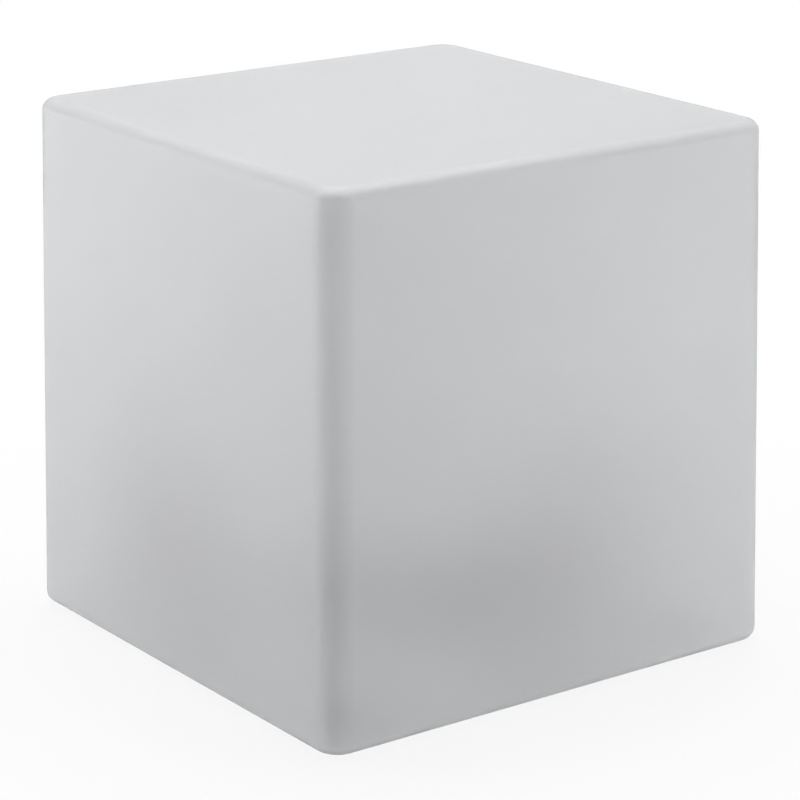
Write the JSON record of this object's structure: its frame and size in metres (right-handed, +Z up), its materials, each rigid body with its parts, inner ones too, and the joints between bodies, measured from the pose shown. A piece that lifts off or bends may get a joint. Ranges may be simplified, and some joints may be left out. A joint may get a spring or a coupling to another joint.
{
  "type": "outdoor cube floor lamp",
  "caption": "Cordless outdoor floor lamp: a softly rounded translucent white cube lit by a sealed light unit screwed into a recess in its underside.",
  "frame": {"origin": "on the floor, under the middle of the cube", "axes": "+Z up, X and Y square to the cube's walls; the charging socket is on the -Y side of the button"},
  "size_m": [0.3996, 0.3996, 0.4],
  "materials": {
    "polyethylene_skin": "satin as-moulded translucent polyethylene",
    "brass": "turned and knurled",
    "foot_rubber": "matt moulded",
    "silicone_seal": "matt moulded silicone",
    "base_plastic": "fine moulded texture",
    "stainless_screw": "plain stainless",
    "opal_plastic": "frosted opal polycarbonate",
    "aluminium_plate": "rolled sheet",
    "white_board": "white solder mask",
    "led_package": "phosphor gel",
    "white_nylon": "moulded nylon",
    "green_board": "green solder mask",
    "black_component": "moulded",
    "button_plastic": "fine moulded texture",
    "nickel_plate": "nickel plated",
    "cover_rubber": "matt moulded",
    "cell_sleeve": "shrink sleeve",
    "clear_acrylic": "clear polished",
    "lead_insulation": "extruded"
  },
  "bodies": {
    "lamp": {"diffuser_shell": "polyethylene_skin", "threaded_inserts": "brass", "rubber_feet": "foot_rubber", "base_gasket": "silicone_seal", "base_plate": "base_plastic", "flange_screws": "stainless_screw", "sealing_washers": "silicone_seal", "light_barrel": "base_plastic", "barrel_seal": "silicone_seal", "barrel_screws": "stainless_screw", "light_dome": "opal_plastic", "dome_seal": "silicone_seal", "dome_screws": "stainless_screw", "heat_spreader": "aluminium_plate", "led_board": "white_board", "led_chips": "led_package", "led_screws": "stainless_screw", "led_terminal": "white_nylon", "control_board": "green_board", "board_components": "black_component", "board_screws": "stainless_screw", "lead_sockets": "white_nylon", "tact_switch": "black_component", "charging_socket": "nickel_plate", "cover_pin": "stainless_screw", "battery_cells": "cell_sleeve", "battery_holder": "black_component", "battery_contacts": "nickel_plate", "battery_clip": "button_plastic", "status_light_pipe": "clear_acrylic", "breather_vent": "button_plastic", "lead_grommet": "foot_rubber", "battery_leads": "lead_insulation", "led_lead": "lead_insulation"},
    "button": {"power_button": "button_plastic", "button_seal": "silicone_seal", "switch_plunger": "black_component"},
    "cover": {"charging_cover": "cover_rubber"}
  },
  "joints": [
    {"name": "power_button_press", "type": "slide", "parent": "lamp", "child": "button", "axis": [0, 0, 1], "range_m": [0, 0.0005], "stiffness_N_per_m": 3000, "springref_m": -0.0003},
    {"name": "charging_cover_hinge", "type": "hinge", "parent": "lamp", "child": "cover", "pos_m": [0, -0.044, 0.0239], "axis": [-1, 0, 0], "range_deg": [0, 95]}
  ]
}
